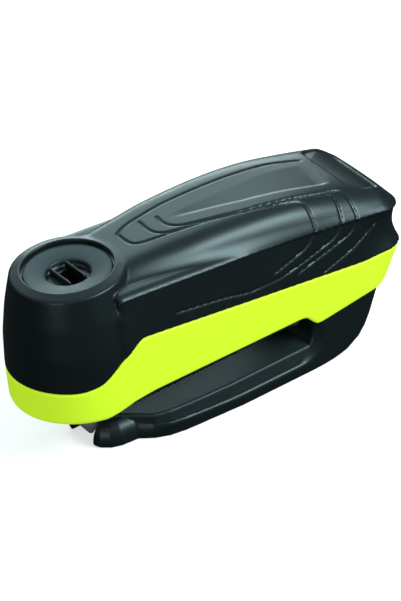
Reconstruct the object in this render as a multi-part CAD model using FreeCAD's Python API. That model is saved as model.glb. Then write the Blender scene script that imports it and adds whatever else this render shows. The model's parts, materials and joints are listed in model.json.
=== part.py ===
"""Disc brake lock with an alarm module: a C-shaped steel body, a plunger that drives
the locking bolt across the slot, and plastic shells around both.

The row frame has its origin under the middle of the lock, on the plane it rests on.
The model is drawn about the bolt's axis (x = 0 there) and moved on export.
"""
import FreeCAD, Part
import math
import os

os.makedirs("parts", exist_ok=True)
V = FreeCAD.Vector

# ---- driving dimensions, mm -------------------------------------------------
HALF_WIDTH = 22.4            # widest line of the shells, at the coloured band
NOSE_X = 107.0               # far end of the top cover
HEAD_R = 22.5                # head at the band
TOP_Z = 60.7                 # rim round the plunger
ROW_SHIFT = -(NOSE_X - HEAD_R) / 2
WALL = 2.0                   # plastic shells
JAW_HALF_WIDTH = 20.5
PLATEAU_Z = 8.0              # top of the lower jaw, below the disc
ROOF_Z = 17.0                # underside of the bolt boss, above the disc
BOLT_R = 5.0
RUN_CLEAR = 0.05             # shaft in its guide
BARREL_R = 13.7
BARREL_Z = (36.5, 56.9)
FACE_TOP = 59.4
SLEEVE_R = BARREL_R + RUN_CLEAR
SLEEVE_OUT = 15.95
CUP_FLOOR_Z = 30.0
PIN_Z, PIN_R, PIN_TRAVEL = 44.0, 2.0, 1.6
PIN_IN, PIN_OUT = 5.75, 13.4
PLUG_R = 7.0
NOTCH_R = 5.35
CAVITY_R = 16.25             # room for the guide sleeve just below the rim

# side outlines (x, z): crown of the cover, shoulder, and the band's two edges
CROWN = [(6, 59.9), (20, 60.5), (32, 60.7), (42, 60.4), (52, 59.6), (62, 58.4), (72, 56.8), (80, 55.2),
         (90, 52.6), (97, 49.8), (101, 47.8), (110, 41.0)]
SHOULDER = [(6, 55.0), (18, 53.7), (32, 52.1), (48, 50.4), (67, 47.9), (82, 45.4), (96, 42.9), (110, 40.4)]
SHOULDER_Y = 21.2            # half-width at the shoulder crease
BAND_TOP = [(-30, 29.6), (-11, 29.6), (-6, 31.0), (7.6, 39.9), (11, 40.6), (46, 35.8), (75, 31.8), (88, 30.0), (115, 29.4)]
BAND_LOW = [(-30, 18.4), (-6, 18.4), (4, 20.2), (11, 21.1), (65.5, 20.6), (70.5, 16.6), (80, 17.3), (115, 19.6)]
FAR_END = [(105.0, 46.4), (NOSE_X, 43.0), (106.2, 40.2), (104.8, 37.4), (104.0, 34.0), (104.4, 30.2)]
HEAD = [(18.4, 20.6), (19.6, 21.9), (22.5, 22.4), (29.6, HEAD_R), (40, 21.6), (50, 19.7), (57.5, 18.2), (59.6, 17.5),
        (TOP_Z, 16.4)]


def at(table, x):
    """Straight-line value of an (x, value) outline."""
    for (x0, v0), (x1, v1) in zip(table, table[1:]):
        if x <= x1:
            return v0 + (v1 - v0) * (x - x0) / (x1 - x0)
    return table[-1][1]


# ---- small shape helpers ----------------------------------------------------
def cyl(r, z0, z1, x=0.0, y=0.0):
    return Part.makeCylinder(r, z1 - z0, V(x, y, z0))


def ring(r_in, r_out, z0, z1):
    return cyl(r_out, z0, z1).cut(cyl(r_in, z0 - 1, z1 + 1))


def box(x0, x1, y0, y1, z0, z1):
    return Part.makeBox(x1 - x0, y1 - y0, z1 - z0, V(x0, y0, z0))


def spline(points):
    curve = Part.BSplineCurve()
    curve.interpolate(points)
    return curve.toShape()


def revolve(profile):
    """Solid of revolution about Z from a closed list of (r, z)."""
    pts = [V(r, 0, z) for r, z in profile]
    face = Part.Face(Part.makePolygon(pts + pts[:1]))
    return face.revolve(V(0, 0, 0), V(0, 0, 1), 360)


def prism_y(outline, half=40.0):
    """Side outline (x, z) pulled through the whole width."""
    pts = [V(x, -half, z) for x, z in outline]
    return Part.Face(Part.makePolygon(pts + pts[:1])).extrude(V(0, 2 * half, 0))


def prism_z(outline, z0, z1):
    """Plan outline (x, y) pulled up."""
    pts = [V(x, y, z0) for x, y in outline]
    return Part.Face(Part.makePolygon(pts + pts[:1])).extrude(V(0, 0, z1 - z0))


def mirrored(half_outline):
    """Closes a plan outline given for +Y."""
    return half_outline + [(x, -y) for x, y in reversed(half_outline)]


def arc_points(cx, cy, r, a0, a1, n=8):
    steps = [math.radians(a0 + (a1 - a0) * i / n) for i in range(n + 1)]
    return [(cx + r * math.cos(a), cy + r * math.sin(a)) for a in steps]


def rod_y(r, y0, y1, x, z):
    return Part.makeCylinder(r, y1 - y0, V(x, y0, z), V(0, 1, 0))


def rod_x(r, x0, x1, y, z):
    return Part.makeCylinder(r, x1 - x0, V(x0, y, z), V(1, 0, 0))


# ---- outer skin of the upper body -------------------------------------------
def section(x, t):
    """Cross-section of the upper body at x, drawn in by the wall t."""
    base, edge, w = 10.0 + t, at(BAND_TOP, x), HALF_WIDTH - t
    sh_z, sh_y, top = at(SHOULDER, x) - 0.5 * t, SHOULDER_Y - t, at(CROWN, x) - t
    side = [(w, edge), ((w + sh_y) / 2 - 0.3, (edge + sh_z) / 2), (sh_y, sh_z)]
    cap = [(sh_y * k, top - (top - sh_z) * k ** 6) for k in (1, 0.96, 0.9, 0.8, 0.65, 0.4, 0)]
    right = spline([V(x, y, z) for y, z in side])
    roof = spline([V(x, y, z) for y, z in cap] + [V(x, -y, z) for y, z in reversed(cap[:-1])])
    left = spline([V(x, -y, z) for y, z in reversed(side)])
    low = [V(x, w, base), V(x, w, edge)]
    far = [V(x, -w, edge), V(x, -w, base)]
    return Part.Wire([Part.makeLine(*low), right, roof, left, Part.makeLine(*far), Part.makeLine(far[1], low[0])])


def far_end_prism(t):
    pts = [V(x - t, 0, z) for x, z in FAR_END]
    top, low = V(60, 0, 80), V(96.0 - t, 0, 17.0)
    foot, back = V(96.0 - t, 0, 0), V(60, 0, 0)
    nose = spline(pts)
    wire = Part.Wire([Part.makeLine(V(pts[0].x, 0, 80), pts[0]), nose, Part.makeLine(pts[-1], low),
                      Part.makeLine(low, foot), Part.makeLine(foot, V(0, 0, 0)),
                      Part.makeLine(V(0, 0, 0), V(0, 0, 80)), Part.makeLine(V(0, 0, 80), V(pts[0].x, 0, 80))])
    return Part.Face(wire).extrude(V(0, 80, 0)).translated(V(0, -40, 0))


def plan_prism(t, corner=7.5):
    w, x1 = HALF_WIDTH - t, NOSE_X - t
    half = [(0, w)] + arc_points(x1 - corner, w - corner, corner, 90, 0)
    return prism_z(mirrored(half), 0, 80)


def body(t=0.0):
    """Upper body behind the head, as a solid drawn in by t."""
    loft = Part.makeLoft([section(x, t) for x in (8, 20, 32, 42, 52, 62, 72, 80, 90, 97, 103, 110)], True, False)
    return loft.common(far_end_prism(t)).common(plan_prism(t))


def head(t=0.0, top=None):
    wall = [(r - t, z) for z, r in HEAD]
    top = TOP_Z if top is None else top
    wall = [(r, z) for r, z in wall if z < top] + [(wall[-1][0] if top == TOP_Z else CAVITY_R, top)]
    edges = [spline([V(r, 0, z) for r, z in wall])]
    low, high = wall[0], wall[-1]
    edges += [Part.makeLine(V(high[0], 0, high[1]), V(0, 0, high[1])), Part.makeLine(V(0, 0, high[1]), V(0, 0, low[1])),
              Part.makeLine(V(0, 0, low[1]), V(low[0], 0, low[1]))]
    return Part.Face(Part.Wire(edges)).revolve(V(0, 0, 0), V(0, 0, 1), 360)


outer = body().fuse(head())
inner = body(WALL).fuse(head(WALL, 59.2))
above = prism_y(BAND_TOP + [(115, 90), (-30, 90)])
band_zone = prism_y(BAND_TOP + list(reversed(BAND_LOW)))
shell = outer.cut(inner)
# the band keeps the full width right up to the head, so it comes from the plan outline
band_outer = far_end_prism(0).common(plan_prism(0)).common(box(-1, 120, -40, 40, 0, 45)).fuse(head())
band_inner = far_end_prism(WALL).common(plan_prism(WALL)).common(box(-1, 120, -40, 40, 0, 45)).fuse(head(WALL, 59.2))

BOSSES = [(22.0, 1), (22.0, -1), (64.0, 1), (64.0, -1)]
BOSS_Y = 16.4

# top cover: shell above the band, four screw bosses, opening for the plunger
cover = shell.common(above)
posts = [cyl(2.7, 20.6, 62, x, s * BOSS_Y).common(body(0.8)) for x, s in BOSSES]
for post in posts:
    cover = cover.fuse(post)
cover = cover.cut(cyl(14.1, 50, 70))
for x, s in BOSSES:
    cover = cover.cut(cyl(1.5, 15, 33, x, s * BOSS_Y))
# trim band: coloured ring below the cover, closed underneath by the roof cover
band = band_outer.cut(band_inner).common(band_zone)
for x, s in BOSSES:
    band = band.cut(cyl(2.9, 10, 50, x, s * BOSS_Y))

# roof cover: plastic plate over the slot, inside the band, round the bolt boss
roof_plan = prism_z(mirrored(arc_points(0, 0, 19.9, 180, 90, 12)[1:] + [(66, 19.9)]), 18.7, 20.5)
roof = roof_plan.cut(cyl(10.3, 10, 30)).cut(band)
for x, s in BOSSES:
    roof = roof.cut(cyl(1.6, 10, 30, x, s * BOSS_Y))

# ---- steel frame: cup for the plunger, beam, heel and lower arm ------------------
ARM_Z = (1.6, 6.0)
HEEL = [(73.5, 1.6), (78, 1.6), (84.5, 6.0), (91.6, 17.5), (97.0, 30), (74, 30), (73.5, 20.6)]
cup = revolve([(0, 20.6), (19.2, 20.6), (19.2, 30), (16.95, 48), (0, 48)])
frame = cup.fuse(cyl(10, ROOF_Z, 21))
frame = frame.fuse(box(5, 75, -13, 13, 20.6, 28))
heel = prism_y(HEEL, 16.8)
frame = frame.fuse(heel)
arm_half = [(-0.6, 5.6), (0.2, 8.8), (4, 9.6), (8.5, 10.2), (12.5, 13.4), (18, 15.2), (28, 16.2), (76, 16.2)]
arm = prism_z(mirrored(arm_half), *ARM_Z)
frame = frame.fuse(arm)
frame = frame.cut(cyl(SLEEVE_OUT, CUP_FLOOR_Z, 49)).cut(cyl(BOLT_R + RUN_CLEAR, 10, 31))
notch = cyl(5.8, -1, 12).fuse(box(-12, 0, -5.8, 5.8, -1, 12))
frame = frame.cut(notch.common(box(-30, 30, -30, 30, -1, 12)))
JAW_SCREWS_X = (28.0, 74.5)
for x in JAW_SCREWS_X:
    frame = frame.cut(cyl(1.5, 0, 5.6, x, 0))

# ---- lower jaw cover and its wear plate ----------------------------------------
jaw_half = [(-2.6, 5.4), (-1.8, 8.0), (0.6, 10.6), (3.2, 11.9), (8.6, 12.6), (12.2, 15.8), (16.6, 18.0),
            (22, 19.1), (41.7, JAW_HALF_WIDTH)]
heel_half = [(89, JAW_HALF_WIDTH)] + arc_points(89, 14.5, 6.0, 90, 0)
jaw_plan = prism_z(mirrored(jaw_half + heel_half), 0, 30)
jaw_side = prism_y([(-6, 1.4), (-4, 0.0), (80, 0), (83, 0.9), (86.5, 3.2), (89.0, 6.0), (91.2, 9.6), (93.4, 14.0),
                    (95.0, 17.2), (95.0, 18.0),
                    (72, 18.6), (66, 20.4)] + arc_points(63.6, 12.6, 8.2, 80, -80, 12) +
                   [(62, 4.6), (-6, 4.6)])
ledge = prism_z(mirrored([(-0.6, 5.6), (2.6, 7.4), (6, 9.0), (12.6, 15.4), (18, 17.4), (28, 18.4), (66, 18.8)]), 4, 6.0)
hollow = prism_z(mirrored([(-1.2, 5.4), (0, 8.9), (4, 9.8), (8.4, 10.4), (12.4, 13.6), (18, 15.4), (28, 16.4),
                           (73.4, 16.4)]), 1.5, 12)
heel_hollow = prism_y([(x + (0.1 if x > 80 else -0.1), z) for x, z in HEEL[:4]] + [(91.7, 31), (73.4, 31)], 16.9)
jaw_notch = cyl(NOTCH_R, -1, 12).fuse(box(-12, 0, -NOTCH_R, NOTCH_R, -1, 12))
jaw = jaw_plan.common(jaw_side).fuse(ledge).cut(hollow).cut(heel_hollow).cut(jaw_notch)
jaw = jaw.cut(frame).cut(band).cut(roof.fuse(box(0, 66.1, -21, 21, 18.6, 22))).cut(box(60, 100, -13.1, 13.1, 20.5, 30))
for x in JAW_SCREWS_X:
    jaw = jaw.cut(cyl(2.9, -1, 1.0, x, 0)).cut(cyl(1.6, -1, 2, x, 0))
plate_half = [(-0.8, 5.6), (1.2, 6.4), (4.8, 7.2), (13.4, 15.6), (18, 17.2), (28, 18.2), (40, 18.8), (71.0, 18.8)]
plate = prism_z(mirrored(plate_half), 6.05, PLATEAU_Z).cut(jaw_notch)
plate = plate.cut(jaw_side.common(jaw_plan)).cut(heel)

# ---- plunger guide ---------------------------------------------------------------
sleeve = ring(SLEEVE_R, SLEEVE_OUT, CUP_FLOOR_Z, 58.6)
sleeve = sleeve.cut(cyl(15.3, PIN_Z - PIN_R - 0.4, PIN_Z + PIN_R + 0.4))
sleeve_ring = ring(SLEEVE_OUT + 0.02, 17.2, 48.1, 49.6)
wiper = ring(14.05, 15.9, 58.65, 59.15)
spring_seat = ring(BOLT_R + 0.5, 11.5, CUP_FLOOR_Z, CUP_FLOOR_Z + 0.8)


def coil_spring(r, wire_r, z0, z1, turns):
    """Round-wire compression spring between two levels."""
    rise = z1 - z0 - 2 * wire_r
    helix = Part.makeHelix(rise / turns, rise, r)
    helix.translate(V(0, 0, z0 + wire_r))
    start = helix.Vertexes[0].Point
    tangent = V(0, 2 * math.pi * r, rise / turns)
    circle = Part.Wire(Part.makeCircle(wire_r, start, tangent))
    return Part.Wire(helix).makePipeShell([circle], True, True)


spring = coil_spring(8.6, 0.55, CUP_FLOOR_Z + 0.85, BARREL_Z[0] - 0.05, 4.0)

# ---- plunger: barrel, face, bolt ----------------------------------------------------
CHAMBER_R = 8.2
barrel = cyl(BARREL_R, *BARREL_Z)
barrel = barrel.cut(cyl(PLUG_R + RUN_CLEAR, 47.0, 60)).cut(cyl(CHAMBER_R, 39.5, 47.7)).cut(cyl(4.0, 30, 40))
barrel = barrel.cut(rod_y(PIN_R + RUN_CLEAR, -20, 20, 0, PIN_Z))
barrel = barrel.cut(ring(12.5, 14, 53.3, 54.7)).cut(rod_x(1.0, -20, 20, 0, 38.0))
barrel = barrel.cut(box(12.0, 15, -1.6, 1.6, 50, 52.0))
magnet = box(12.05, 13.3, -1.5, 1.5, 50.1, 51.9)
oring = Part.makeTorus(13.05, 0.52, V(0, 0, 54.0))
face = revolve([(6.6, BARREL_Z[1] + 0.02), (BARREL_R, BARREL_Z[1] + 0.02), (BARREL_R, FACE_TOP - 0.4),
                (BARREL_R - 0.4, FACE_TOP), (BARREL_R - 1.2, FACE_TOP), (6.9, FACE_TOP - 0.9), (6.6, FACE_TOP - 1.2)])
bolt = revolve([(0, 0.5), (0.6, 0.5), (BOLT_R, 7.0), (BOLT_R, BARREL_Z[0] - 0.02), (4.0, BARREL_Z[0] - 0.02), (4.0, 39.4),
                (0, 39.4)])
bolt = bolt.cut(rod_x(1.0, -20, 20, 0, 38.0))
cross_pin = rod_x(0.98, -12.5, 12.5, 0, 38.0)

# ---- key plug, its discs and the cam that drives the latch pins ------------------------
KEYWAY = box(-2.35, 2.35, -4.3, 4.3, 40, 60)
plug = cyl(PLUG_R, 47.75, BARREL_Z[1] - 0.1).cut(cyl(5.8, 47, 55.2)).cut(KEYWAY)
DISC_T, SPACER_T, DISCS = 0.8, 0.25, 6
stack_z = 48.7
discs = [cyl(5.74, stack_z + i * (DISC_T + SPACER_T), stack_z + i * (DISC_T + SPACER_T) + DISC_T).cut(KEYWAY)
         for i in range(DISCS)]
spacers = [ring(4.95, 5.6, stack_z + i * (DISC_T + SPACER_T) + DISC_T, stack_z + (i + 1) * (DISC_T + SPACER_T))
           for i in range(DISCS - 1)]
cam_oval = Part.Face(Part.Wire(Part.Ellipse(V(0, 0, 41.6), 7.0, 5.4).toShape())).extrude(V(0, 0, 4.9))
cam = cam_oval.fuse(cyl(7.8, 46.5, 47.6)).fuse(cyl(5.7, 47.5, 48.6))


def latch_pin(side):
    y0, y1 = sorted((side * PIN_IN, side * PIN_OUT))
    return rod_y(PIN_R, y0, y1, 0, PIN_Z)


# ---- alarm module ----------------------------------------------------------------------
TRAY = (25.5, 72.5, -12.8, 12.8, 28.05, 40.4)
tray = box(*TRAY).cut(box(TRAY[0] + 1, TRAY[1] - 1, TRAY[2] + 1, TRAY[3] - 1, TRAY[4] + 1, 45))
CELL_R, CELL_L, CELL_X = 5.2, 43.0, 27.4
cells = []
for s in (-1, 1):
    can = rod_x(CELL_R, CELL_X, CELL_X + CELL_L - 1.0, s * 5.5, 34.4)
    cells.append(can.fuse(rod_x(1.9, CELL_X + CELL_L - 1.2, CELL_X + CELL_L, s * 5.5, 34.4)))
contacts = [box(x, x + 0.4, s * 5.5 - 3, s * 5.5 + 3, 31, 38) for x in (CELL_X - 0.75, CELL_X + CELL_L - 0.3 + 0.35)
            for s in (-1, 1)]
board = box(24, 72, -12, 12, 40.45, 42.05)
chips = [box(30, 38, -4, 4, 42.05, 43.6), box(42, 45, -9, -6, 42.05, 43.3), box(42, 45, 6, 9, 42.05, 43.3),
         cyl(3.0, 42.05, 47.5, 64, 4.5), cyl(2.4, 42.05, 46.5, 64, -5)]
tilt_sensor = box(50, 57, -3.5, 3.5, 42.05, 46.0)
siren = cyl(9.6, 30.05, 38.0, 83.5, 0).cut(cyl(1.6, 34, 39, 83.5, 0))
bolt_sensor = box(16.1, 19.0, -2.5, 2.5, 50.4, 56.0)


def screw(x, y, z_head, r_head, length, r=1.45, head_h=1.0):
    """Pan-head screw pointing up, with a cross recess in its head."""
    body_ = cyl(r_head, z_head, z_head + head_h, x, y).fuse(cyl(r, z_head + head_h, z_head + length, x, y))
    cross = box(x - 1.6, x + 1.6, y - 0.35, y + 0.35, z_head - 1, z_head + 0.6)
    return body_.cut(cross).cut(box(x - 0.35, x + 0.35, y - 1.6, y + 1.6, z_head - 1, z_head + 0.6))


cover_screws = [screw(x, s * BOSS_Y, 17.7, 2.7, 14.0) for x, s in BOSSES]
jaw_screws = [screw(x, 0, 0.15, 2.7, 5.0, head_h=0.8) for x in JAW_SCREWS_X]

NODES = {
    "steel_frame": frame, "top_cover": cover, "trim_band": band, "slot_roof_cover": roof,
    "jaw_cover": jaw, "jaw_plate": plate, "guide_sleeve": sleeve, "sleeve_ring": sleeve_ring,
    "wiper_seal": wiper, "spring_seat": spring_seat, "return_spring": spring,
    "plunger_barrel": barrel, "face_disc": face, "locking_bolt": bolt, "bolt_cross_pin": cross_pin,
    "barrel_oring": oring, "sensor_magnet": magnet, "key_plug": plug,
    "detainer_discs": Part.makeCompound(discs), "disc_spacers": Part.makeCompound(spacers),
    "latch_cam": cam, "latch_pin_far": latch_pin(1), "latch_pin_near": latch_pin(-1),
    "alarm_tray": tray, "battery_cells": Part.makeCompound(cells),
    "battery_contacts": Part.makeCompound(contacts), "circuit_board": board,
    "board_components": Part.makeCompound(chips), "tilt_sensor": tilt_sensor, "siren": siren,
    "bolt_sensor": bolt_sensor, "cover_screws": Part.makeCompound(cover_screws),
    "jaw_screws": Part.makeCompound(jaw_screws),
}
for node, shape in NODES.items():
    placed = shape.translated(V(ROW_SHIFT, 0, 0))
    placed.exportStep("parts/%s.step" % node)
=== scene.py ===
"""Looks of a motorcycle disc brake lock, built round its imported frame.

Shells are solids written as signed fields in lock millimetres, measured from the bolt's
axis, and meshed by a surface net. The plunger's face and the bolt are turned. Every other
piece keeps the frame's mesh and gets a finish of its own.
"""
import json
import math

import bpy
import bmesh
import numpy as np
from bpy.props import FloatProperty, FloatVectorProperty, PointerProperty
from bpy.types import Operator, Panel, PropertyGroup
from mathutils import Matrix, Vector


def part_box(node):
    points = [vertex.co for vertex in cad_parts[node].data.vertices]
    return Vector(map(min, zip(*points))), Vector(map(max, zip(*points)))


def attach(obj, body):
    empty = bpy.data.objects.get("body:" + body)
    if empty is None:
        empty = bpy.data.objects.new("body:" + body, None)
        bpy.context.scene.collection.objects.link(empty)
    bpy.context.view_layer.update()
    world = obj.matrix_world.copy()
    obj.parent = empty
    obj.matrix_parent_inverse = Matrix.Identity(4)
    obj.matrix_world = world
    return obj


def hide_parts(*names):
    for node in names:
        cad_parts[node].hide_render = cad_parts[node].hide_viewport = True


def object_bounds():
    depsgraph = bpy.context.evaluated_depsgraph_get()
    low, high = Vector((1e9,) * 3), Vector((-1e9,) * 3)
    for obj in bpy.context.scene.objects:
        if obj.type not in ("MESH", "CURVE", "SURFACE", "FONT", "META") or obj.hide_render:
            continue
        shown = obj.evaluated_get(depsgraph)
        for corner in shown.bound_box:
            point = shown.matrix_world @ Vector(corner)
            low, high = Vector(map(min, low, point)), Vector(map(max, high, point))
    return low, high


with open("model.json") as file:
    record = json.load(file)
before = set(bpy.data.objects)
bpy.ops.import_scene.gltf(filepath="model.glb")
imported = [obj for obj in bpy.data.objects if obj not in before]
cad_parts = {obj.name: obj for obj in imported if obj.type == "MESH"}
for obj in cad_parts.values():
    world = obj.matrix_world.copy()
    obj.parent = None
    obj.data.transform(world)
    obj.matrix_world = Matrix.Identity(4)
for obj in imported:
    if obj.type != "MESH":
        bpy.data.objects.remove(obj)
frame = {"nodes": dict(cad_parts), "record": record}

bl_info = {
    "name": "Disc brake lock",
    "version": (1, 0, 0),
    "blender": (4, 5, 0),
    "location": "3D View > Sidebar > Disc lock",
    "description": "Shells, band, plunger face, key plug and finishes of a disc brake lock",
    "category": "Object",
}

CAD_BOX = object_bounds()
BOLT_LO, BOLT_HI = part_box("locking_bolt")
AXIS_X = (BOLT_LO.x + BOLT_HI.x) / 2            # the bolt's axis in the frame, metres
MM = 0.001
HEAD_TOP = CAD_BOX[1].z / MM
NOSE_X = (CAD_BOX[1].x - AXIS_X) / MM
BAND_Y = CAD_BOX[1].y / MM - 0.1
FACE_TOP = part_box("face_disc")[1].z / MM


# ---- signed fields, millimetres about the bolt's axis ------------------------------
def blend_max(a, b, reach):
    """Larger of two fields, rounded over the given reach."""
    h = np.clip(0.5 + 0.5 * (a - b) / reach, 0, 1)
    return b + (a - b) * h + reach * h * (1 - h)


def blend_min(a, b, reach):
    """Smaller of two fields, rounded over the given reach."""
    return -blend_max(-a, -b, reach)


def soft_step(value, low, high):
    """Runs smoothly from 0 at low to 1 at high."""
    t = np.clip((value - low) / (high - low), 0, 1)
    return t * t * (3 - 2 * t)


def soft_curve(points, soften):
    """Function through (x, value) points with its corners rounded over soften mm."""
    xs, vs = zip(*points)
    step = 0.25
    grid = np.arange(xs[0], xs[-1] + step, step)
    pad = max(1, int(soften / step))
    kernel = np.ones(pad) / pad
    line = np.pad(np.interp(grid, xs, vs), 2 * pad, mode="reflect", reflect_type="odd")
    for _ in range(2):
        line = np.convolve(line, kernel, mode="same")
    line = line[2 * pad:-2 * pad]
    return lambda x: np.interp(x, grid, line)


def rounded_end(x, y, end, half, corner):
    """Plan outline open towards -X: straight sides, a far end and rounded corners."""
    qx, qy = x - (end - corner), np.abs(y) - (half - corner)
    outside = np.hypot(np.maximum(qx, 0), np.maximum(qy, 0))
    return outside + np.minimum(np.maximum(qx, qy), 0) - corner


def outline_field(x, y, outline):
    """Signed distance to a closed outline of (x, y) points."""
    best, inside = None, None
    for (x0, y0), (x1, y1) in zip(outline, outline[1:] + outline[:1]):
        dx, dy = x1 - x0, y1 - y0
        t = np.clip(((x - x0) * dx + (y - y0) * dy) / (dx * dx + dy * dy), 0, 1)
        d = np.hypot(x - x0 - t * dx, y - y0 - t * dy)
        crosses = ((y0 > y) != (y1 > y)) & (x < (x1 - x0) * (y - y0) / ((y1 - y0) or 1e-9) + x0)
        best = d if best is None else np.minimum(best, d)
        inside = crosses if inside is None else inside ^ crosses
    return np.where(inside, -best, best)


def line_distance(u, v, points, soften=0.0):
    """Distance from (u, v) to an open line; soften rounds its corners."""
    path = np.array(points, float)
    if soften:
        path = round_corners(path, soften)
    best = np.full(np.broadcast(u, v).shape, 1e9)
    for (u0, v0), (u1, v1) in zip(path, path[1:]):
        du, dv = u1 - u0, v1 - v0
        t = np.clip(((u - u0) * du + (v - v0) * dv) / (du * du + dv * dv + 1e-12), 0, 1)
        best = np.minimum(best, np.hypot(u - u0 - t * du, v - v0 - t * dv))
    return best


def round_corners(path, radius, steps=6):
    """Replaces each corner of a line by a short curve."""
    made = [path[0]]
    for before, corner, after in zip(path, path[1:], path[2:]):
        a, b = before - corner, after - corner
        reach_a = min(radius, np.linalg.norm(a) / 2) / np.linalg.norm(a)
        reach_b = min(radius, np.linalg.norm(b) / 2) / np.linalg.norm(b)
        start, end = corner + a * reach_a, corner + b * reach_b
        for i in range(steps + 1):
            t = i / steps
            made.append(start * (1 - t) ** 2 + 2 * corner * t * (1 - t) + end * t * t)
    made.append(path[-1])
    return np.array(made)


# ---- outlines of the upper body, (x, z) ---------------------------------------------
crown = soft_curve([(-30, 59.4), (6, 59.9), (20, 60.5), (32, 60.7), (42, 60.5), (52, 59.8), (62, 58.7),
                    (72, 57.1), (80, 55.2), (90, 52.4), (98, 49.6), (104, 47.2), (112, 43.6)], 5)
crease = soft_curve([(-30, 55.8), (6, 55.0), (18, 53.7), (32, 52.1), (48, 50.4), (67, 47.9), (82, 45.4),
                     (96, 42.9), (112, 40.2)], 5)
band_top = soft_curve([(-40, 29.6), (-12, 29.6), (-6, 31.0), (8.4, 40.9), (11.5, 40.7), (46, 35.8),
                       (75, 31.8), (88, 30.0), (112, 29.4)], 2.5)
band_low = soft_curve([(-40, 18.4), (-6, 18.6), (4, 20.6), (11, 21.1), (64.4, 20.5), (66.4, 20.0),
                       (69.4, 16.5), (71, 16.3), (80, 17.3), (94, 18.9), (112, 20.0)], 1.0)
head_side = soft_curve([(0, 22.4), (24, 22.4), (30, 22.4), (40, 21.7), (50, 20.0), (56, 18.5), (59, 17.7),
                        (61, 17.2), (70, 15)], 3)                   # (height, radius)
loaf_half = soft_curve([(-30, 14.5), (16, 15.5), (34, 18.6), (55, 20.4), (75, 21.3), (112, 21.4)], 5)
flute_reach = soft_curve([(-30, 3.4), (30, 3.2), (60, 2.4), (85, 1.2), (112, 0.6)], 5)
LIP_Y = 21.4                # half width at the lip below the loaf
LIP_CORNER, LIP_BOW = 7.5, 0.0022
BAND_CORNER, BAND_BOW = 7.0, 0.0012
BAND_SET_BACK = 1.7         # how far the band's end stands back from the lip's
HEEL_LINE_Z = 30.2          # below this the far end slopes in
BODY_START_X = 3.5
FACE_OPENING_R = 14.0
SLEEVE_ROOM_R = 16.2
PLUNGER_ROOM_R = 18.0       # inside this the inner skin can be seen past the plunger
RIM_R, RIM_SLOPE = 14.3, 0.33
SEAM = 0.12                 # half of the gap between shell and band
SHELL_T = 2.0


def lip_plan(x, y):
    """Plan outline of the lip that runs round the top, bowed across its far end."""
    return rounded_end(x + LIP_BOW * y * y, y, NOSE_X, LIP_Y, LIP_CORNER)


def band_plan(x, y, z):
    """Plan outline of the band, which slopes in towards the heel."""
    rake = np.clip(HEEL_LINE_Z - z, 0, 14) * 0.64
    return rounded_end(x + rake + BAND_BOW * y * y, y, NOSE_X - BAND_SET_BACK, BAND_Y, BAND_CORNER)


def upper_body(x, y, z):
    """Solid of the long body behind the head."""
    lip, line = lip_plan(x, y), crease(x)
    height = crown(x) - line
    k = np.clip((lip + LIP_Y) / loaf_half(x), 0, 1.3)
    power = 6.0 - 1.6 * soft_step(x, 60, 100)
    loaf = (z - crown(x) + height * k ** power) * 0.8
    shelf = blend_max(lip, z - line - 1.9, 4.0)
    upper = blend_min(loaf, shelf, flute_reach(x))
    upper = blend_max(upper, line - z, 0.3)
    t = np.clip((z - band_top(x)) / (line - band_top(x)), 0, 1)
    waist = 1.5 * np.sin(math.pi * t) * soft_step(x, 84, 101)
    wall = band_plan(x, y, HEEL_LINE_Z) * (1 - t) + (lip + 0.5) * t + waist
    wall = np.maximum(wall, z - line - 0.4)
    return blend_min(upper, wall, 0.25)


def head_body(x, y, z):
    """Solid of the round head, tapered upwards, with a sloping rim."""
    r = np.hypot(x, y)
    rim = (z - HEAD_TOP + RIM_SLOPE * np.clip(r - RIM_R, 0, 9)) * 0.95
    return blend_max(r - head_side(z), rim, 0.45)


def cover_outside(x, y, z):
    """Head and body as one, with a fillet between them that grows towards the top."""
    body = blend_max(upper_body(x, y, z), BODY_START_X - x, 2.0)
    fillet = 0.5 + 2.8 * soft_step(-z, -55, -49)
    return blend_min(head_body(x, y, z), body, fillet)


def top_cover_field(x, y, z):
    """The cover's shell down to the band, open where the plunger comes through."""
    out = cover_outside(x, y, z)
    shell = np.maximum(out, -(out + SHELL_T))
    bore = np.where(z > HEAD_TOP - 2.2, FACE_OPENING_R, SLEEVE_ROOM_R) - np.hypot(x, y)
    shell = blend_max(shell, np.where(z > 48, bore, -5.0), 0.35)
    return blend_max(shell, band_top(x) + SEAM - z, 0.3)


def trim_band_field(x, y, z):
    """Shell of the band, between the cover's lower edge and the jaw."""
    side = np.where(x < 0, np.hypot(x, y) - head_side(z), band_plan(x, y, z))
    out = blend_max(side, band_low(x) - z, 1.6)
    shell = np.maximum(out, -(side + SHELL_T))
    return blend_max(shell, z - band_top(x) + SEAM, 0.3)


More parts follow.
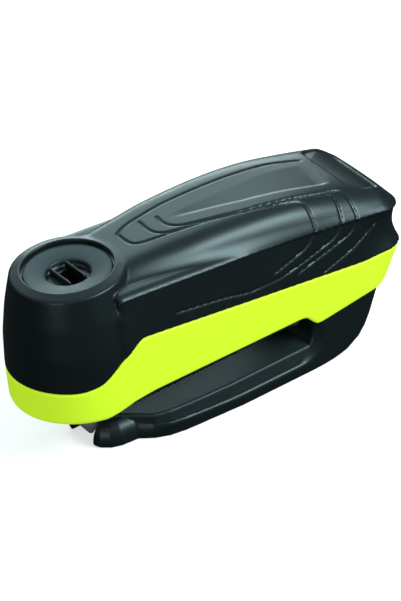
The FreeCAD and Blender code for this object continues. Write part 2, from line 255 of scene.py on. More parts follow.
# ---- grooves and shallow relief of the top cover, (x, y) above the lip and (x, z) below ----
TOP_LINES = [
    [(20.4, 3.4), (20.2, -2), (21.4, -5), (26, -6.4), (68.4, -13.9), (73, -14.6), (74.4, -16),
     (74.6, -18.5), (73.9, -21.6)],
    [(28.8, 3.9), (28.3, -1.7), (29.5, -5.3), (33.4, -7.4), (55.3, -11.4), (80.4, -13.7), (84, -14.3),
     (84.9, -16.3), (84.2, -19.3), (83.2, -21.6)],
    [(34.1, 2.3), (33.5, -2), (35.6, -6.1), (42.4, -8.4), (55.3, -11.4), (80.4, -13.7), (86.9, -13.3),
     (89, -14.4), (89.3, -19), (88.9, -21.6)],
    [(20.4, 3.4), (24, 5.4), (38, 7.2), (59.5, 7.9), (78, 8.2), (88, 6.4)],
]
SIDE_LINES = [
    [(73.9, 47.8), (70.5, 43.8), (57.6, 40.7)],
    [(83.2, 46), (80.7, 42.4), (61.4, 38.4), (48.3, 38.6), (39.2, 41), (22, 43.9)],
    [(88.9, 45.4), (86.8, 41.5), (65.4, 37)],
    [(96, 40.4), (86.3, 36.4), (74.5, 33.4)],
]
scoop_high = soft_curve([(34, 0.4), (55, 1.2), (75, 3.4), (95, 3.2)], 4)
scoop_low = soft_curve([(34, -2.2), (39, -3.8), (58, -8.4), (79, -11.2), (95, -12)], 4)
PLAQUE_X, PLAQUE_HALF_X, PLAQUE_HALF_Y = 97.6, 5.8, 14.2


def relief(x, y, z, depth, width):
    """How far the grooves, the scoop and the blank plaque go in from the plain cover."""
    above = soft_step(z - crease(x), 0.2, 2.2)
    top = np.full(np.broadcast(x, y, z).shape, 1e9)
    for line in TOP_LINES:
        top = np.minimum(top, line_distance(x, y, line, 3.0))
    side = np.full(top.shape, 1e9)
    for line in SIDE_LINES:
        side = np.minimum(side, line_distance(x, z, line, 3.5))
    on_top, on_side = soft_step(-top, -width, 0), 1.1 * soft_step(-side, -0.8 * width, 0)
    cut = depth * (above * on_top + (1 - above) * on_side)
    high, low = scoop_high(x), scoop_low(x)
    across = np.clip((high - y) / (high - low), 0, 1)
    inside = soft_step(y - low, 1.3, 3.2) * soft_step(x, 35, 43) * soft_step(-x, -88.5, -84)
    cut = np.maximum(cut, depth * 1.5 * across * inside * above)
    plaque = rounded_end(np.abs(x - PLAQUE_X), y, PLAQUE_HALF_X, PLAQUE_HALF_Y, 5.0)
    return np.maximum(cut, depth * 1.3 * soft_step(-plaque, -0.2, 0.7) * soft_step(z - crease(x), 0.8, 2.0))


# ---- lower jaw --------------------------------------------------------------------------
JAW_Y = 20.5
PLATE_Y = 18.8
PLATE_TOP, PLATE_BASE = 8.0, 3.4
PLATE_END = 70.9
NOTCH_R = 5.35
HEEL_START = 73.4           # the steel heel lies behind this
JAW_FLOOR_T = 1.5
JAW_SIDE_T = 4.1
SLOT_SKIN_T = 1.5           # skin between the slot's closed end and the steel
HEEL_ROOM_Y = 16.9          # half width of the hollow round the heel
HEEL_T = 2.6
JAW_HALF = [(-3.4, -12), (-3.4, 5.4), (-2.6, 8.2), (0.0, 10.8), (3.2, 12.1), (8.6, 12.6), (12.2, 15.8),
            (16.6, 18.0), (22, 19.1), (41.7, JAW_Y), (130, JAW_Y), (130, -12)]
PLATE_HALF = [(-0.8, -12), (-0.8, 5.6), (1.2, 6.4), (4.8, 7.2), (13.4, 15.6), (18, 17.2), (28, 18.2),
              (40, PLATE_Y), (130, PLATE_Y), (130, -12)]
heel_end = soft_curve([(-2, 74), (0, 80.6), (0.9, 83), (3.2, 86.5), (6, 89), (9.6, 91.2), (14, 93.4),
                       (17.2, 95), (24, 97)], 0.8)                  # (height, x)
ridge_top = soft_curve([(-6, 5.2), (8, 5.4), (24, 4.8), (48, 4.0), (64, 3.7), (100, 3.7)], 4)
SLOT_END, SLOT_Z, SLOT_R = 71.8, 12.6, 8.2


def jaw_plan(x, y, z):
    """The jaw's side walls and the raked end of its heel."""
    side = outline_field(x, np.abs(y), JAW_HALF)
    slope = (heel_end(z + 0.3) - heel_end(z - 0.3)) / 0.6
    return blend_max(side, (x - heel_end(z)) / np.sqrt(1 + slope * slope), 5.0)


def slot_field(x, z):
    """The disc's slot seen from the side, with a round closed end."""
    return np.maximum(rounded_end(x, z - SLOT_Z, SLOT_END, SLOT_R, SLOT_R - 0.1), z - 24)


def fork_notch(x, y):
    """The gap between the jaw's two prongs, open towards -X."""
    return np.where(x < 0, np.abs(y), np.hypot(x, y)) - NOTCH_R


def jaw_cover_field(x, y, z):
    """Cover of the lower jaw: forked lobes in front, a ledge along the slot, the heel behind.

    It is hollow round the steel arm and heel.
    """
    plan = jaw_plan(x, y, z) * 0.9
    floor = blend_max(plan, 0.02 - z, 0.6)
    front = 1 - soft_step(x, 11, 18)
    ledge = ridge_top(x) - 1.2 * soft_step(-plan, 0.7, 1.5) * (1 - front) + 3.4 * front
    fillet = 2.1 * soft_step(JAW_Y - np.abs(y), 0.2, 2.2) * soft_step(x, 62, 69)
    slot = -np.maximum(slot_field(x, z) + fillet, ledge - z)
    body = blend_max(floor, slot, 1.8 + 7.0 * front)
    body = blend_max(body, -fork_notch(x, y), 0.8)
    above_floor = JAW_FLOOR_T - z
    arm = np.maximum(outline_field(x, np.abs(y), JAW_HALF) + JAW_SIDE_T, above_floor)
    arm = np.maximum(arm, x - HEEL_START)
    arm = np.maximum(arm, np.where(x > 58, SLOT_SKIN_T - slot_field(x, z), -9.0))
    heel = np.maximum(np.maximum(np.abs(y) - HEEL_ROOM_Y, HEEL_START - x), above_floor)
    heel = np.maximum(heel, x - heel_end(z) + HEEL_T)
    body = blend_max(body, -np.minimum(arm, heel), 0.3)
    return np.maximum(body, z - band_low(x) + 0.15)


def jaw_plate_field(x, y, z):
    """The raised plate under the disc."""
    plan = np.maximum(outline_field(x, np.abs(y), PLATE_HALF), x - PLATE_END)
    body = blend_max(plan, z - PLATE_TOP, 0.7)
    body = blend_max(body, -fork_notch(x, y), 0.7)
    return np.maximum(body, PLATE_BASE - z)


# ---- surface net ---------------------------------------------------------------------
def surface_net(field, low, high, cell):
    """Vertices and quads of the zero level of a field, one vertex per crossed cell."""
    axes = [np.arange(a, b + cell, cell) for a, b in zip(low, high)]
    grids = np.meshgrid(*axes, indexing="ij", sparse=True)
    value = np.asarray(field(*grids), np.float32)
    solid = value < 0
    shape = [n - 1 for n in value.shape]
    offsets = [(i, j, k) for i in (0, 1) for j in (0, 1) for k in (0, 1)]
    window = [tuple(slice(o, o + n) for o, n in zip(off, shape)) for off in offsets]
    count = sum(solid[w].astype(np.int8) for w in window)
    cells = np.argwhere((count > 0) & (count < 8))
    corner = np.stack([value[tuple((cells + off).T)] for off in offsets], 1)
    total, hits = np.zeros((len(cells), 3)), np.zeros(len(cells))
    for a, off_a in enumerate(offsets):
        for b, off_b in enumerate(offsets):
            step = np.subtract(off_b, off_a)
            if a < b and np.abs(step).sum() == 1:
                va, vb = corner[:, a], corner[:, b]
                cut = (va < 0) != (vb < 0)
                t = np.where(cut, va / np.where(cut, va - vb, 1), 0)
                total += np.where(cut[:, None], np.array(off_a) + t[:, None] * step, 0)
                hits += cut
    points = np.array(low) + (cells + total / hits[:, None]) * cell
    index = np.full(shape, -1, np.int32)
    index[tuple(cells.T)] = np.arange(len(cells))
    quads = []
    for axis in range(3):
        u, v = (axis + 1) % 3, (axis + 2) % 3
        near = [slice(1, -1)] * 3
        near[axis] = slice(0, -1)
        far = list(near)
        far[axis] = slice(1, None)
        a, b = solid[tuple(near)], solid[tuple(far)]
        edges = np.argwhere(a != b)
        leaving = a[tuple(edges.T)]
        edges = edges + [0 if i == axis else 1 for i in range(3)]
        ring = []
        for du, dv in ((0, 0), (-1, 0), (-1, -1), (0, -1)):
            step = [0, 0, 0]
            step[u], step[v] = du, dv
            ring.append(index[tuple((edges + step).T)])
        ring = np.stack(ring, 1)
        quads.append(np.where(leaving[:, None], ring, ring[:, ::-1]))
    return points, np.concatenate(quads)


def settle(points, field, carve=None, rounds=4, reach=0.35):
    """Moves points to the field's zero level along its slope, or deeper by what carve gives."""
    step = 0.04
    for _ in range(rounds):
        x, y, z = points.T
        value = field(x, y, z) + (carve(x, y, z) if carve else 0.0)
        slope = np.stack([field(x + step, y, z) - field(x - step, y, z),
                          field(x, y + step, z) - field(x, y - step, z),
                          field(x, y, z + step) - field(x, y, z - step)], 1) / (2 * step)
        size = np.maximum((slope ** 2).sum(1), 0.05)
        move = -value[:, None] * slope / size[:, None]
        length = np.linalg.norm(move, axis=1, keepdims=True)
        points = points + move * np.minimum(1, reach / np.maximum(length, 1e-9))
    return points


def to_row(points):
    """Lock millimetres about the bolt's axis to the frame's metres."""
    return (np.asarray(points, float) + [AXIS_X / MM, 0, 0]) * MM


def mesh_object(name, points, faces, finish):
    """Blender object from points in lock millimetres."""
    mesh = bpy.data.meshes.new(name)
    mesh.from_pydata(to_row(points).tolist(), [], [list(map(int, f)) for f in faces])
    mesh.validate()
    mesh.polygons.foreach_set("use_smooth", [True] * len(mesh.polygons))
    piece = bpy.data.objects.new(name, mesh)
    bpy.context.scene.collection.objects.link(piece)
    mesh.materials.append(finish)
    return piece


def field_piece(name, field, low, high, cell, finish):
    """Meshed and settled piece from one field."""
    points, quads = surface_net(field, low, high, cell)
    points = settle(points, field)
    return mesh_object(name, points, quads, finish)


def thin_inside(piece, points, hidden, ratio=0.12):
    """Spends few faces on the inner skin of a shell."""
    group = piece.vertex_groups.new(name="inner_skin")
    group.add([int(i) for i in np.nonzero(hidden)[0]], 1.0, "REPLACE")
    shrink = piece.modifiers.new("inner_skin", "DECIMATE")
    shrink.vertex_group = group.name
    shrink.vertex_group_factor = 10.0
    shrink.ratio = 1 - (1 - ratio) * float(np.mean(hidden))
    with bpy.context.temp_override(object=piece, active_object=piece, selected_objects=[piece]):
        bpy.ops.object.modifier_apply(modifier=shrink.name)
    piece.vertex_groups.clear()


SHARP_EDGE = math.radians(32)


def turned(name, profile, finish, segments=128):
    """Solid of revolution about the bolt's axis from a closed (radius, height) line."""
    points, faces, rows = [], [], []
    for r, z in profile:
        if r == 0:
            rows.append([len(points)] * segments)
            points.append((0, 0, z))
            continue
        rows.append(list(range(len(points), len(points) + segments)))
        for turn in (2 * math.pi * i / segments for i in range(segments)):
            points.append((r * math.cos(turn), r * math.sin(turn), z))
    for a, b in zip(rows, rows[1:] + rows[:1]):
        for i in range(segments):
            j = (i + 1) % segments
            ring = list(dict.fromkeys([a[i], a[j], b[j], b[i]]))
            if len(ring) > 2:
                faces.append(ring)
    piece = mesh_object(name, points, faces, finish)
    skin = bmesh.new()
    skin.from_mesh(piece.data)
    bmesh.ops.recalc_face_normals(skin, faces=skin.faces)
    if skin.calc_volume(signed=True) < 0:
        bmesh.ops.reverse_faces(skin, faces=skin.faces)
    for edge in skin.edges:
        edge.smooth = not edge.is_manifold or edge.calc_face_angle(0) < SHARP_EDGE
    skin.to_mesh(piece.data)
    skin.free()
    return piece


def place(piece, body, slot, *nodes):
    """Lets a piece ride on its body in place of the frame's own nodes."""
    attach(piece, body)
    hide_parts(*nodes)


# ---- finishes ---------------------------------------------------------------------------
class Amount:
    """A number that varies over a surface, with ordinary arithmetic."""

    def __init__(self, network, socket):
        self.network, self.socket = network, socket

    def _with(self, kind, other, clamp=False):
        settings = {"operation": kind, "use_clamp": clamp}
        made = self.network.node("ShaderNodeMath", settings, {0: self.socket, 1: other})
        return Amount(self.network, made.outputs[0])

    def __add__(self, other):
        return self._with("ADD", other)

    def __mul__(self, other):
        return self._with("MULTIPLY", other)

    def __gt__(self, other):
        return self._with("GREATER_THAN", other)

    def sine(self):
        return self._with("SINE", 0.0)

    def limited(self):
        return self._with("ADD", 0.0, clamp=True)

    __radd__ = __add__


FIXED_SOCKETS = {"ior": "IOR", "metallic": "Metallic", "level": "Specular IOR Level", "tint": "Specular Tint",
                 "glow": "Emission Color", "glow_strength": "Emission Strength"}


class Network:
    """The shader nodes of one material or of the world."""

    def __init__(self, owner):
        owner.use_nodes = True
        self.tree = owner.node_tree

    def join(self, output, socket):
        self.tree.links.new(output, socket)

    def node(self, kind, settings=None, inputs=None):
        made = self.tree.nodes.new(kind)
        for key, value in (settings or {}).items():
            if key == "stops":
                ramp = made.color_ramp
                while len(ramp.elements) < len(value):
                    ramp.elements.new(0.5)
                for element, (at, colour) in zip(ramp.elements, value):
                    element.position, element.color = at, colour
            else:
                setattr(made, key, value)
        for key, value in (inputs or {}).items():
            value = value.socket if isinstance(value, Amount) else value
            if isinstance(value, bpy.types.NodeSocket):
                self.join(value, made.inputs[key])
            else:
                made.inputs[key].default_value = value
        return made


class Finish(Network):
    """A procedural material round one Principled shader."""

    def __init__(self, name, **sockets):
        self.material = bpy.data.materials.new(name)
        super().__init__(self.material)
        self.shader = self.tree.nodes["Principled BSDF"]
        self.place = self.node("ShaderNodeTexCoord").outputs["Object"]
        for short, value in sockets.items():
            self.shader.inputs[FIXED_SOCKETS[short]].default_value = value

    def noise(self, per_mm, detail=3.0, roughness=0.55, stretch=(1, 1, 1)):
        spot = self.node("ShaderNodeMapping", None, {"Vector": self.place, "Scale": stretch}).outputs[0]
        inputs = {"Vector": spot, "Scale": per_mm / MM, "Detail": detail, "Roughness": roughness}
        return Amount(self, self.node("ShaderNodeTexNoise", None, inputs).outputs[0])

    def cells(self, per_mm):
        made = self.node("ShaderNodeTexVoronoi", None, {"Vector": self.place, "Scale": per_mm / MM})
        return Amount(self, made.outputs["Distance"])

    def axis(self, name):
        parts = self.node("ShaderNodeSeparateXYZ", None, {0: self.place})
        return Amount(self, parts.outputs[name])

    def colour(self, amount, low, high):
        made = self.node("ShaderNodeMix", {"data_type": "RGBA"}, {0: amount, 6: (*low, 1), 7: (*high, 1)})
        self.join(made.outputs[2], self.shader.inputs["Base Color"])

    def rough(self, amount):
        self.join(amount.limited().socket, self.shader.inputs["Roughness"])

    def relief(self, height, depth_mm, strength):
        inputs = {"Height": height, "Distance": depth_mm * MM, "Strength": strength}
        self.join(self.node("ShaderNodeBump", None, inputs).outputs[0], self.shader.inputs["Normal"])


def scaled(colour, factor):
    return tuple(min(1.0, c * factor) for c in colour)


def spark_plastic(name, colour, roughness, grain=0.006, tint=(0.78, 0.97, 1.0)):
    """Moulded plastic with the fine even grain of an eroded mould."""
    made = Finish(name, ior=1.5, tint=(*tint, 1), level=0.6)
    fine, broad = made.noise(1.7, 2, 0.5), made.noise(0.05, 3)
    made.colour(broad * 0.6 + fine * 0.4, scaled(colour, 0.75), scaled(colour, 1.35))
    made.rough(roughness - 0.06 + fine * 0.09 + broad * 0.05)
    made.relief(fine + made.cells(1.3) * 0.4, grain, 0.8)


def neon_plastic(colour):
    """Fluorescent plastic, with painted light: its emission makes the band glow brighter than the light
    falling on it.
    """
    # emission colour and strength paint a glow onto the band, which is no lamp
    made = Finish("neon_band", ior=1.5, level=0.35, glow=(*colour, 1), glow_strength=0.55)
    fine, broad = made.noise(1.6, 2, 0.5), made.noise(0.04, 2)
    made.colour(broad * 0.7 + fine * 0.3, scaled(colour, 0.95), scaled(colour, 1.04))
    made.rough(0.40 + fine * 0.08)
    made.relief(fine, 0.004, 0.4)


def metal(name, colour, roughness, grain=0.004, stretch=(1, 1, 1), per_mm=1.6, stain=0.15, metallic=1.0):
    """Bare or plated metal; stretch draws its grain out along an axis, stain varies its colour."""
    made = Finish(name, metallic=metallic)
    grain_map, broad = made.noise(per_mm, 4, 0.6, stretch), made.noise(0.12, 3)
    made.colour(broad * 0.6 + grain_map * 0.4, scaled(colour, 1 - stain), scaled(colour, 1 + stain))
    made.rough(roughness - 0.07 + grain_map * 0.12 + broad * 0.06)
    made.relief(grain_map, grain, 0.5)


def rubber():
    made = Finish("black_rubber", level=0.3)
    fine = made.noise(4.0, 4, 0.7)
    made.colour(fine, (0.010, 0.010, 0.011), (0.022, 0.022, 0.024))
    made.rough(0.68 + fine * 0.14)
    made.relief(fine, 0.01, 0.6)


def solder_mask():
    """Green board with thin copper tracks under the mask."""
    made = Finish("board_green", ior=1.5)
    across, along = made.axis("X"), made.axis("Y")
    tracks = (across * 4200 + (along * 900).sine() * 1.6).sine() > 0.86
    made.colour(tracks * 0.8 + made.noise(0.4) * 0.2, (0.005, 0.075, 0.022), (0.03, 0.24, 0.09))
    made.rough(0.34 + made.noise(1.5) * 0.08)
    made.relief(tracks, 0.03, 0.5)


def cell_wrap():
    made = Finish("cell_jacket", metallic=1.0)
    turn = made.noise(0.6, 3, 0.5, (1, 1, 14))
    made.colour(turn, (0.48, 0.49, 0.50), (0.74, 0.75, 0.76))
    made.rough(0.22 + turn * 0.12)
    made.relief(turn, 0.004, 0.4)


def finishes(colours):
    """Every finish of the lock, each under the name of its slot."""
    spark_plastic("satin_black_shell", colours.shell, 0.35)
    neon_plastic(colours.band)
    spark_plastic("face_black", colours.face, 0.44, 0.009)
    metal("hardened_steel", colours.steel, 0.34, 0.003, (1, 1, 9), metallic=0.45)
    metal("forged_steel", (0.50, 0.52, 0.54), 0.40, 0.02, per_mm=0.9, stain=0.2)
    metal("zinc_steel", (0.62, 0.64, 0.66), 0.30, 0.004, per_mm=2.2)
    metal("brass_parts", (0.16, 0.12, 0.065), 0.34, 0.004, (9, 1, 1))
    rubber()
    spark_plastic("tray_plastic", (0.05, 0.052, 0.055), 0.5)
    solder_mask()
    spark_plastic("component_black", (0.010, 0.011, 0.012), 0.36, 0.003)
    cell_wrap()
    spark_plastic("siren_grey", (0.09, 0.09, 0.095), 0.46, 0.006, (1, 1, 1))
    metal("magnet_grey", (0.42, 0.42, 0.44), 0.28, 0.003)


def finish_for(slot):
    return bpy.data.materials[slot]


# ---- settings -----------------------------------------------------------------------------
class DiscLockSizes(PropertyGroup):
    """Small sizes of the covers, in millimetres."""
    groove_depth: FloatProperty(name="Groove depth", description="Depth of the moulded grooves, mm",
                                default=0.5, min=0.0, max=1.2)
    groove_width: FloatProperty(name="Groove half width", description="Half width of the moulded grooves, mm",
                                default=0.62, min=0.2, max=2.0)
    cover_cell: FloatProperty(name="Cover mesh size", description="Mesh size of the top cover, mm",
                              default=0.44, min=0.25, max=2.0)
    shell_cell: FloatProperty(name="Shell mesh size", description="Mesh size of the band and the jaw, mm",
                              default=0.5, min=0.3, max=2.0)


class DiscLockColours(PropertyGroup):
    """Colours that a user would change."""
    shell: FloatVectorProperty(name="Shell", description="Colour of the satin black covers",
                               subtype="COLOR", default=(0.009, 0.0135, 0.015), min=0, max=1)
    face: FloatVectorProperty(name="Face", description="Colour of the plunger face and the jaw plate",
                              subtype="COLOR", default=(0.022, 0.034, 0.038), min=0, max=1)
    band: FloatVectorProperty(name="Band", description="Colour of the neon band",
                              subtype="COLOR", default=(0.65, 1.0, 0.03), min=0, max=1)
    steel: FloatVectorProperty(name="Steel", description="Colour of the hardened steel",
                               subtype="COLOR", default=(0.86, 0.90, 0.93), min=0, max=1)


class DiscLockStage(PropertyGroup):
    """Camera and light."""
    azimuth: FloatProperty(name="Azimuth", description="Camera's direction round the lock",
                           subtype="ANGLE", default=math.radians(-30.5))
    elevation: FloatProperty(name="Elevation", description="Camera's height above the horizon",
                             subtype="ANGLE", default=math.radians(34.0))
    roll: FloatProperty(name="Roll", description="Turn of the picture about the view",
                        subtype="ANGLE", default=math.radians(8.0))
    distance: FloatProperty(name="Distance", description="Camera's distance from the lock",
                            unit="LENGTH", default=3.975)
    back_power: FloatProperty(name="Back light", description="Power of the softbox behind",
                              unit="POWER", default=2.3)
    front_power: FloatProperty(name="Front light", description="Power of the softbox in front",
                               unit="POWER", default=5.4)
    slot_power: FloatProperty(name="Slot light", description="Power of the low softbox behind the slot",
                              unit="POWER", default=1.6)
    kicker_power: FloatProperty(name="Low light", description="Power of the small softbox beside the head",
                                unit="POWER", default=0.5)


# ---- operators ------------------------------------------------------------------------------
class DISCLOCK_OT_finishes(Operator):
    """Make the finishes and give each frame part its own"""
    bl_idname = "disclock.finishes"
    bl_label = "Finishes"

    def execute(self, context):
        for part in frame["nodes"].values():
            part.data.materials.clear()
        for plain in list(bpy.data.materials):
            bpy.data.materials.remove(plain)
        finishes(context.scene.disc_colours)
        for record in frame["record"]["subparts"]:
            part = frame["nodes"][record["node"]]
            part.data.materials.append(finish_for(record["material_slot"]))
        return {"FINISHED"}


class DISCLOCK_OT_top_cover(Operator):
    """Build the top cover with its head ring, grooves, scoop and plaque"""
    bl_idname = "disclock.top_cover"
    bl_label = "Top cover"

    def execute(self, context):
        sizes = context.scene.disc_sizes

        def carve(x, y, z):
            skin = cover_outside(x, y, z) > -SHELL_T / 2
            cut = np.zeros(x.shape)
            cut[skin] = relief(x[skin], y[skin], z[skin], sizes.groove_depth, sizes.groove_width)
            return cut

        points, quads = surface_net(top_cover_field, (-24.5, -24.5, 28), (108, 24.5, 62.5), sizes.cover_cell)
        points = settle(points, top_cover_field, carve)
        piece = mesh_object("top_cover_shell", points, quads, finish_for("satin_black_shell"))
        hidden = cover_outside(*points.T) < -0.8 * SHELL_T
        hidden &= np.hypot(points[:, 0], points[:, 1]) > PLUNGER_ROOM_R
        thin_inside(piece, points, hidden)
        place(piece, "lock_body", "satin_black_shell", "top_cover")
        return {"FINISHED"}


class DISCLOCK_OT_band(Operator):
    """Build the neon band round the waist of the lock"""
    bl_idname = "disclock.band"
    bl_label = "Neon band"

    def execute(self, context):
        cell = context.scene.disc_sizes.shell_cell
        piece = field_piece("neon_waist_band", trim_band_field, (-24.5, -24.5, 15), (106, 24.5, 43), cell,
                            finish_for("neon_band"))
        place(piece, "lock_body", "neon_band", "trim_band")
        return {"FINISHED"}


class DISCLOCK_OT_jaw(Operator):
    """Build the lower jaw's cover and the plate on it"""
    bl_idname = "disclock.jaw"
    bl_label = "Jaw"

    def execute(self, context):
        cell = context.scene.disc_sizes.shell_cell
        cover = field_piece("jaw_shell", jaw_cover_field, (-5, -22.5, -1), (97, 22.5, 21.5), cell,
                            finish_for("satin_black_shell"))
        place(cover, "lock_body", "satin_black_shell", "jaw_cover")
        plate = field_piece("jaw_wear_plate", jaw_plate_field, (-3, -20.5, 2.5), (73, 20.5, 9), cell,
                            finish_for("face_black"))
        place(plate, "lock_body", "face_black", "jaw_plate")
        return {"FINISHED"}


class DISCLOCK_OT_face(Operator):
    """Turn the dished face of the plunger"""
    bl_idname = "disclock.face"
    bl_label = "Plunger face"

    def execute(self, context):
        low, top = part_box("face_disc")[0].z / MM, FACE_TOP
        # (radius, depth below the edge), from the edge in over the dish to the keyway opening
        dish = [(13.6, 0.45), (13.5, 0.2), (13.3, 0.06), (13.0, 0), (12.6, 0.02), (11.4, 0.16), (9.6, 0.44),
                (8.0, 0.78), (7.3, 0.95), (7.0, 1.06), (6.8, 1.25), (6.7, 1.6)]
        profile = [(6.65, low), (13.3, low), (13.6, low + 0.3)] + [(r, top - depth) for r, depth in dish]
        place(turned("plunger_face", profile, finish_for("face_black")), "plunger", "face_black", "face_disc")
        return {"FINISHED"}


PLUG_TOP, RAIL_TOP, HOLLOW_TOP = 56.2, 58.7, 55.0
RAIL_X, RAIL_HALF_X, RAIL_HALF_Y = 2.75, 0.5, 5.3
KEYWAY_HALF_X, KEYWAY_HALF_Y = 2.35, 4.3
HOLLOW_R = 5.8


def key_plug_field(x, y, z, radius, base):
    """The plug's front with its keyway; it is hollow below for the detainer discs."""
    r = np.hypot(x, y)
    body = blend_max(r - radius, z - PLUG_TOP, 0.4)
    for side in (-RAIL_X, RAIL_X):
        rail = np.maximum(np.abs(x - side) - RAIL_HALF_X, np.abs(y) - RAIL_HALF_Y)
        body = blend_min(body, blend_max(np.maximum(rail, HOLLOW_TOP - z), z - RAIL_TOP, 0.5), 0.4)
    keyway = np.maximum(np.abs(x) - KEYWAY_HALF_X, np.abs(y) - KEYWAY_HALF_Y)
    body = blend_max(body, -keyway, 0.3)
    hollow = np.maximum(r - HOLLOW_R, z - HOLLOW_TOP)
    return np.maximum(np.maximum(body, -hollow), base - z)


class DISCLOCK_OT_key_plug(Operator):
    """Shape the key plug with its keyway and the two rails beside it"""
    bl_idname = "disclock.key_plug"
    bl_label = "Key plug"

    def execute(self, context):
        low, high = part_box("key_plug")
        base, radius = low.z / MM, (high.x - low.x) / 2 / MM

        def plug(x, y, z):
            return key_plug_field(x, y, z, radius, base)

        piece = field_piece("key_plug_front", plug, (-7.6, -7.6, base - 0.4), (7.6, 7.6, 59.2), 0.22,
                            finish_for("component_black"))
        place(piece, "key_core", "component_black", "key_plug")
        return {"FINISHED"}


class DISCLOCK_OT_bolt(Operator):
    """Turn the locking bolt with its pointed tip"""
    bl_idname = "disclock.bolt"
    bl_label = "Locking bolt"

    def execute(self, context):
        tip, top, r = BOLT_LO.z / MM, BOLT_HI.z / MM, (BOLT_HI.x - BOLT_LO.x) / 2 / MM
        collar, neck = 36.2, 4.0
        profile = [(0, tip), (0.5, tip), (0.75, tip + 0.12), (r - 0.35, tip + 5.9), (r - 0.05, tip + 6.5),
                   (r, tip + 6.9), (r, collar), (r - 0.25, collar + 0.28), (neck, collar + 0.28),
                   (neck, top - 0.4), (neck - 0.4, top), (0, top)]
        bolt = turned("hardened_bolt", profile, finish_for("hardened_steel"))
        place(bolt, "plunger", "hardened_steel", "locking_bolt")
        return {"FINISHED"}


def softbox(name, size, spot, aim, power, colour):
    """Area light at a spot, turned towards its aim."""
    light = bpy.data.lights.new(name, "AREA")
    light.shape, light.energy, light.color = "RECTANGLE", power, colour
    light.size, light.size_y = size
    lamp = bpy.data.objects.new(name, light)
    lamp.location = spot
    lamp.rotation_mode = "QUATERNION"
    lamp.rotation_quaternion = (aim - spot).to_track_quat("-Z", "Y")
    bpy.context.scene.collection.objects.link(lamp)


# name, size, place from the lock's middle, power setting, colour (metres)
SOFTBOXES = [
    ("back_softbox", (0.7, 0.45), (0.35, 0.62, 0.62), "back_power", (0.74, 0.98, 1.0)),
    ("front_softbox", (0.5, 0.2), (0.40, -0.60, 0.50), "front_power", (0.88, 1.0, 1.0)),
    ("slot_softbox", (0.4, 0.12), (0.45, 0.78, 0.14), "slot_power", (0.80, 0.98, 1.0)),
    ("low_kicker", (0.25, 0.12), (-0.70, -0.40, 0.16), "kicker_power", (1, 1, 1)),
]
# how bright the studio is from the floor up to straight overhead
STUDIO_STOPS = [(0.45, (0.03, 0.036, 0.038, 1)), (0.66, (0.12, 0.15, 0.16, 1)), (0.85, (0.28, 0.34, 0.36, 1))]
FLOOR_HALF = 30.0
LENS, SENSOR = 800.0, 36.0
AIM = (0.04227, -0.00239, 0.02875)              # from the bolt's axis at the floor, metres


def lay_floor():
    """Pale floor that the lock stands on; it isn't mirrored in the shells."""
    size, level = FLOOR_HALF, CAD_BOX[0].z
    mesh = bpy.data.meshes.new("floor")
    corners = [(-size, -size, level), (size, -size, level), (size, size, level), (-size, size, level)]
    mesh.from_pydata(corners, [], [(0, 1, 2, 3)])
    floor = bpy.data.objects.new("floor", mesh)
    bpy.context.scene.collection.objects.link(floor)
    paper = Finish("floor_paper", level=0.1, glow=(1, 1, 1, 1), glow_strength=0.6)
    paper.colour(paper.noise(0.01), (0.93, 0.93, 0.93), (0.96, 0.96, 0.96))
    paper.rough(0.9 + paper.noise(0.3) * 0.05)
    mesh.materials.append(paper.material)
    floor.visible_glossy = False
    floor.visible_diffuse = False


def studio_world():
    """Soft surround, dark below the horizon and pale above."""
    world = bpy.data.worlds.new("studio")
    studio = Network(world)
    way = studio.node("ShaderNodeTexCoord").outputs["Generated"]
    height = Amount(studio, studio.node("ShaderNodeSeparateXYZ", None, {0: way}).outputs["Z"])
    ramp = studio.node("ShaderNodeValToRGB", {"stops": STUDIO_STOPS}, {0: height * 0.5 + 0.5})
    studio.join(ramp.outputs[0], studio.tree.nodes["Background"].inputs["Color"])
    return world


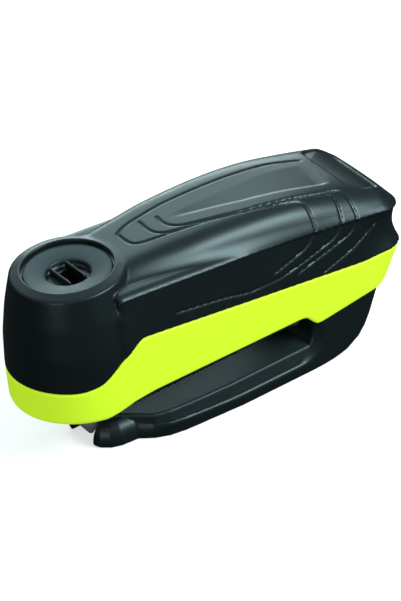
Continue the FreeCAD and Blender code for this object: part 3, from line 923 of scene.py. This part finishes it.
def aimed_camera(stage):
    """Camera with a long lens, so the view is nearly parallel."""
    a, e, roll = stage.azimuth, stage.elevation, stage.roll
    back_way = Vector((math.sin(a) * math.cos(e), -math.cos(a) * math.cos(e), math.sin(e)))
    level = Vector((math.cos(a), math.sin(a), 0))
    rise = back_way.cross(level)
    right = level * math.cos(roll) - rise * math.sin(roll)
    up = level * math.sin(roll) + rise * math.cos(roll)
    lens = bpy.data.cameras.new("camera")
    lens.lens, lens.sensor_width, lens.clip_end = LENS, SENSOR, 100.0
    camera = bpy.data.objects.new("camera", lens)
    aim = Vector(AIM) + Vector((AXIS_X, 0, 0))
    turn = Matrix((right, up, back_way)).transposed().to_4x4()
    camera.matrix_world = Matrix.Translation(aim + back_way * stage.distance) @ turn
    bpy.context.scene.collection.objects.link(camera)
    return camera


class DISCLOCK_OT_stage(Operator):
    """Set the floor, the soft lights and the camera"""
    bl_idname = "disclock.stage"
    bl_label = "Stage"

    def execute(self, context):
        scene, stage = context.scene, context.scene.disc_stage
        lay_floor()
        scene.world = studio_world()
        middle = Vector((0, 0, CAD_BOX[1].z / 2))
        for name, size, spot, power, colour in SOFTBOXES:
            softbox(name, size, middle + Vector(spot), middle, getattr(stage, power), colour)
        scene.camera = aimed_camera(stage)
        scene.view_settings.view_transform = "Standard"
        return {"FINISHED"}


class DISCLOCK_PT_panel(Panel):
    """Sidebar list of the lock's pieces"""
    bl_idname = "DISCLOCK_PT_panel"
    bl_label = "Disc brake lock"
    bl_space_type = "VIEW_3D"
    bl_region_type = "UI"
    bl_category = "Disc lock"

    def draw(self, context):
        for group in (context.scene.disc_sizes, context.scene.disc_colours, context.scene.disc_stage):
            for key in group.bl_rna.properties.keys():
                if key not in ("rna_type", "name"):
                    self.layout.prop(group, key)
        for step in STEPS:
            self.layout.operator(step.bl_idname)


STEPS = (DISCLOCK_OT_finishes, DISCLOCK_OT_top_cover, DISCLOCK_OT_band, DISCLOCK_OT_jaw, DISCLOCK_OT_face,
         DISCLOCK_OT_key_plug, DISCLOCK_OT_bolt, DISCLOCK_OT_stage)
GROUPS = {"disc_sizes": DiscLockSizes, "disc_colours": DiscLockColours, "disc_stage": DiscLockStage}


def register():
    for name, group in GROUPS.items():
        bpy.utils.register_class(group)
        setattr(bpy.types.Scene, name, PointerProperty(type=group))
    for step in (*STEPS, DISCLOCK_PT_panel):
        bpy.utils.register_class(step)


def unregister():
    for step in (DISCLOCK_PT_panel, *reversed(STEPS)):
        bpy.utils.unregister_class(step)
    for name, group in GROUPS.items():
        delattr(bpy.types.Scene, name)
        bpy.utils.unregister_class(group)


def main():
    register()
    for step in STEPS:
        family, call = step.bl_idname.split(".")
        getattr(getattr(bpy.ops, family), call)()


if __name__ == "__main__":
    main()
